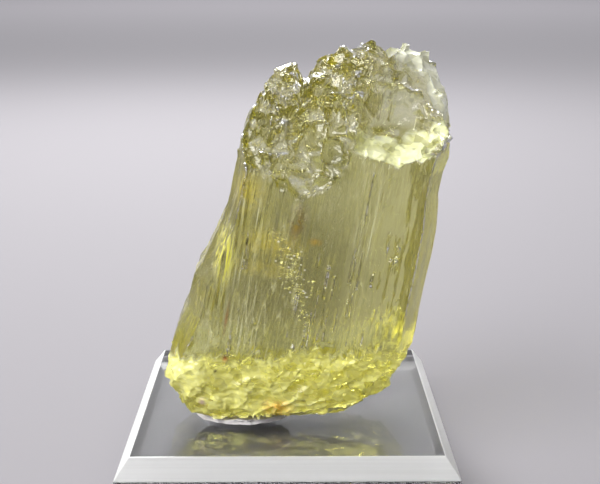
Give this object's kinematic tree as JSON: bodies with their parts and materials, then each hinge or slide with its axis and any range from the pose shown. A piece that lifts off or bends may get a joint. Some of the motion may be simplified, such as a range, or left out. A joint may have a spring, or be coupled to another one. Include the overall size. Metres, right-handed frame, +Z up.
{
  "type": "heliodor crystal specimen",
  "caption": "Etched yellow beryl crystal leaning on a pad of white tack on a clear square acrylic display base with bevelled top edges.",
  "frame": {"origin": "centre of the display base's underside", "axes": "+Z up, -Y the crystal's broad front face, +X the side the crystal leans towards"},
  "size_m": [0.061, 0.06, 0.0781],
  "materials": {
    "crystal": "glassy yellow-green beryl, clear in the middle, finely grooved faces, rough broken ends",
    "tack": "soft whitish putty, matt",
    "base": "clear polished acrylic with satin machined bevels"
  },
  "bodies": {
    "root": {"crystal": "crystal", "tack_pad": "tack", "display_base": "base"}
  },
  "joints": []
}
